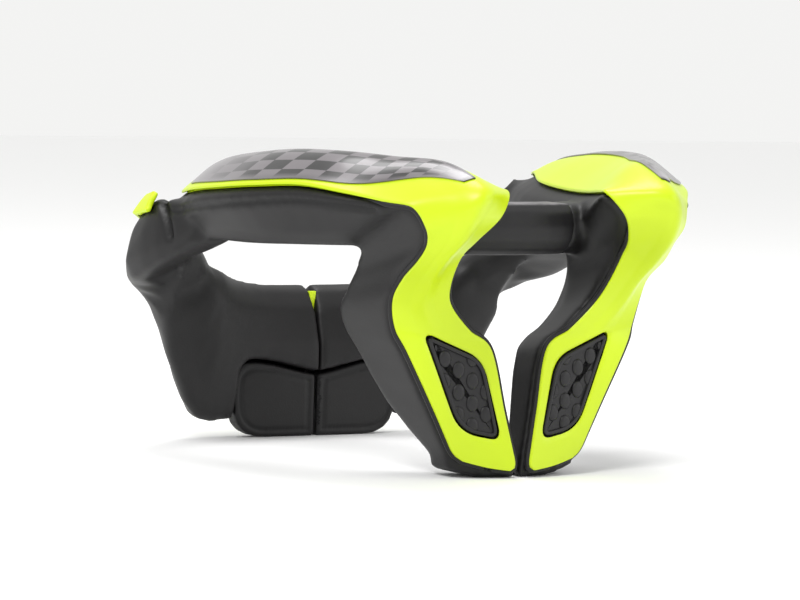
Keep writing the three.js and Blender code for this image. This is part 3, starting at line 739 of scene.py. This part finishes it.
def pad_mesh():
    """A pad with its rim and studs, made flat and then slanted as the leg's face is."""
    outline = rounded_outline(PAD_CORNERS, PAD_CORNER, 0)
    bm = bmesh.new()
    bmesh.ops.create_circle(bm, cap_ends=True, segments=len(outline), radius=1)
    for vert, point in zip(bm.verts, outline):
        vert.co = (point.x, PAD_DEPTH, point.y)
    body = bmesh.ops.extrude_face_region(bm, geom=bm.faces[:], use_keep_orig=True)["geom"]
    front = [item for item in body if isinstance(item, bmesh.types.BMFace)]
    for vert in front[0].verts:
        vert.co.y = PAD_SHOULDER - PAD_PROUD
    bm.normal_update()
    for inward, up in PAD_RIM_STEPS:
        bmesh.ops.inset_region(bm, faces=front, thickness=inward * MM, depth=up * MM, use_even_offset=True)
    bmesh.ops.recalc_face_normals(bm, faces=bm.faces[:])
    room = rounded_outline(PAD_CORNERS, PAD_CORNER, -PAD_RIM)
    centres = rounded_outline(PAD_CORNERS, PAD_CORNER, -STUD_MARGIN)
    for column in range(-3, 4):
        for row in range(-4, 5):
            x = STUD_CENTRE[0] * HALF_WIDTH + column * STUD_COLUMN_STEP
            z = STUD_CENTRE[1] * HEIGHT + (row + (column % 2) / 2) * STUD_PITCH
            if inside(centres, x, z):
                stud(bm, x, z, room)
    for vert in bm.verts:
        vert.co.y += leg_face(vert.co.x, vert.co.z)
    return bm


pad = new_object("studded_chest_pad_left", pad_mesh(), RUBBER)
pad.data.set_sharp_from_angle(angle=SHARP_ANGLE)
dress(pad, "chest_pad_left")
dress(mirrored(pad, "studded_chest_pad_right"), "chest_pad_right")


# Throat bridge, strap and flaps

bridge = moulded("throat_bridge", "throat_bridge_tube", BRIDGE, *BRIDGE_MOULD)
bridge.data.transform(Matrix.Scale(BRIDGE_STRETCH, 4, (1, 0, 0)))
dress(bridge, "throat_bridge")

strap = moulded("rear_strap", "rear_strap_band", STRAP, *BAND_MOULD)
strap_end = min(vert.co.y for vert in strap.data.vertices)
for vert in strap.data.vertices:
    near_end = 1 - smooth_step(vert.co.y, strap_end, strap_end + BAND_END_REACH)
    vert.co += Vector((0, -BAND_END_ON, BAND_END_UP)) * near_end
dress(strap, "rear_strap")


def seam_tongue():
    """The end of the band that narrows to a point in the mouth of the seam."""
    y, top, bottom = TONGUE
    bm = bmesh.new()
    bmesh.ops.create_cube(bm, size=1)
    for vert in bm.verts:
        upper = vert.co.z > 0
        width = TONGUE_WIDTH if upper else TONGUE_WIDTH * TONGUE_POINT
        height = (top if upper else bottom) * HEIGHT
        vert.co = (vert.co.x * width, NOSE_Y + y * DEPTH + vert.co.y * TONGUE_THICKNESS, height)
    bmesh.ops.bevel(bm, geom=bm.edges[:], offset=TONGUE_EDGE, offset_type="OFFSET", segments=2,
                    profile=0.5, affect="EDGES", material=-1)
    return bm


tongue = new_object("band_tongue", seam_tongue(), STRAP)
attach(tongue, "root")

flap = moulded("closure_flap_left", "closure_flap_body_left", FOAM, *FLAP_MOULD)
close_seam(flap)
flap_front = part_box("closure_flap_left")[0][1]
border = rounded_outline(FLAP_CORNERS, FLAP_CORNER, -FLAP_BORDER)
border_line = []
for start, end in zip(border, border[1:] + border[:1]):
    border_line += [Vector((start.lerp(end, t).x, flap_front, start.lerp(end, t).y)) for t in steps(0, 1, 12)]
dent(flap, border_line, *BORDER_DENT)
dress(flap, "closure_flap_left")
dress(mirrored(flap, "closure_flap_body_right"), "closure_flap_right")


def hook_edge():
    """The ragged edge of the hook-and-loop tape that shows at the seam side of one flap."""
    low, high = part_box("closure_flap_left")
    chance = random.Random(4)
    bm = bmesh.new()
    for height in steps(low[2] + HOOKS_FROM_FOOT, high[2] - HOOKS_FROM_TOP, HOOK_TUFTS):
        tuft = bmesh.ops.create_icosphere(bm, subdivisions=1, radius=HOOK_RADIUS)["verts"]
        size = Vector((chance.uniform(1.0, 2.6), chance.uniform(0.8, 1.4), chance.uniform(0.7, 1.3)))
        centre = Vector((chance.uniform(1.2, 2.2) * MM, low[1] + 0.2 * MM, height))
        for vert in tuft:
            vert.co = centre + Vector((vert.co.x * size.x, vert.co.y * size.y, vert.co.z * size.z))
    return bm


hooks = new_object("hook_and_loop_edge", hook_edge(), HOOKS)
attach(hooks, "root")


# Floor, light and camera

def stage_floor():
    bm = bmesh.new()
    bmesh.ops.create_grid(bm, x_segments=1, y_segments=1, size=3.0)
    material, _, shader, _ = new_material("pale_studio_floor")
    shader.inputs["Base Color"].default_value = linear("#fafafa")
    shader.inputs["Roughness"].default_value = 0.7
    shader.inputs["Specular IOR Level"].default_value = 0.2
    return new_object("studio_floor", bm, material)


floor = stage_floor()

scene = bpy.context.scene
scene.view_settings.view_transform = "Standard"
world = bpy.data.worlds.new("pale_studio")
scene.world = world
world.use_nodes = True
world.node_tree.nodes["Background"].inputs["Color"].default_value = (1.0, 1.0, 0.99, 1)
world.node_tree.nodes["Background"].inputs["Strength"].default_value = 0.9


LIGHT_TARGET = Vector((0, 0, 70 * MM))


def area_light(name, place_at, size, power):
    data = bpy.data.lights.new(name, "AREA")
    data.shape = "DISK"
    data.size = size
    data.energy = power
    light = bpy.data.objects.new(name, data)
    scene.collection.objects.link(light)
    light.location = place_at
    light.rotation_euler = (LIGHT_TARGET - Vector(place_at)).to_track_quat("-Z", "Y").to_euler()
    return light


lights = [
    area_light("key_softbox", (-0.8, -0.6, 1.2), 0.5, 10.0),
    area_light("top_softbox", (0.1, 0.3, 1.3), 0.7, 8.0),
    area_light("fill_softbox", (1.0, -0.9, 0.5), 0.8, 2.5),
]

camera_data = bpy.data.cameras.new("photo_camera")
camera_data.sensor_width = SENSOR_WIDTH
camera_data.lens = SENSOR_WIDTH * PIXELS_PER_METRE * CAMERA_DISTANCE / FRAME_WIDTH
camera = bpy.data.objects.new("photo_camera", camera_data)
scene.collection.objects.link(camera)
turn = Matrix((ROLLED_RIGHT, ROLLED_UP, -VIEW)).transposed().to_4x4()
camera.matrix_world = Matrix.Translation(EYE) @ turn
scene.camera = camera
